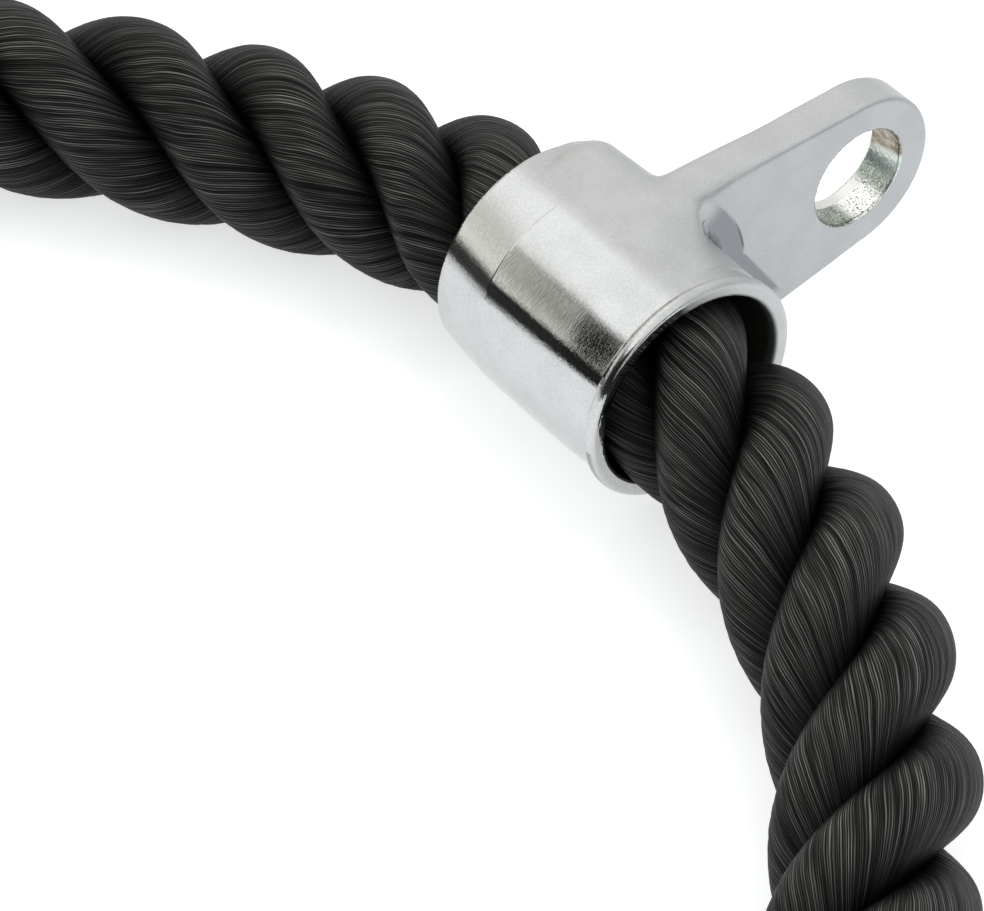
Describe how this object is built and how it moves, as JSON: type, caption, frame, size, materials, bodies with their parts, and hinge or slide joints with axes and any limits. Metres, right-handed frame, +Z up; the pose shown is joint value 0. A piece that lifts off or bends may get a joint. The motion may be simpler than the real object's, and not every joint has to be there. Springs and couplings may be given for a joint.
{
  "type": "triceps rope attachment",
  "caption": "Cable machine rope attachment: a thick black laid rope through a plated cast collar with a flat eye, and a moulded rubber stop at each end.",
  "frame": {"origin": "on the floor, at the middle of the box round the collar and the two end stops", "axes": "+X along the collar's bore towards the lipped mouth, +Y from the rope's ends to the collar's eye, +Z up from the floor"},
  "size_m": [0.428, 0.3335, 0.058],
  "materials": {
    "plated_steel": "satin",
    "black_rope": "satin",
    "black_rubber": "matte",
    "zinc_steel": "satin",
    "black_plastic": "matte"
  },
  "bodies": {
    "collar": {"collar": "plated_steel"},
    "rope_core": {"rope_in_collar": "black_rope", "rope_bend_left": "black_rope", "rope_bend_right": "black_rope"},
    "leg_left": {"rope_leg_left": "black_rope", "end_stop_left": "black_rubber", "rope_ferrule_left": "zinc_steel", "retaining_washer_left": "zinc_steel", "retaining_screw_left": "zinc_steel", "end_plug_left": "black_plastic"},
    "leg_right": {"rope_leg_right": "black_rope", "end_stop_right": "black_rubber", "rope_ferrule_right": "zinc_steel", "retaining_washer_right": "zinc_steel", "retaining_screw_right": "zinc_steel", "end_plug_right": "black_plastic"}
  },
  "joints": [
    {"name": "rope_turn", "type": "hinge", "parent": "collar", "child": "rope_core", "pos_m": [0, 0.09814, 0.0215], "axis": [1, 0, 0], "continuous": true},
    {"name": "leg_left_swing", "type": "hinge", "parent": "rope_core", "child": "leg_left", "pos_m": [-0.02215, 0.09934, 0.02029], "axis": [0, 0, 1], "range_deg": [-30, 25], "deforming": ["rope_bend_left"]},
    {"name": "leg_right_swing", "type": "hinge", "parent": "rope_core", "child": "leg_right", "pos_m": [0.02215, 0.09693, 0.02009], "axis": [0, 0, 1], "range_deg": [-25, 30], "deforming": ["rope_bend_right"]}
  ]
}
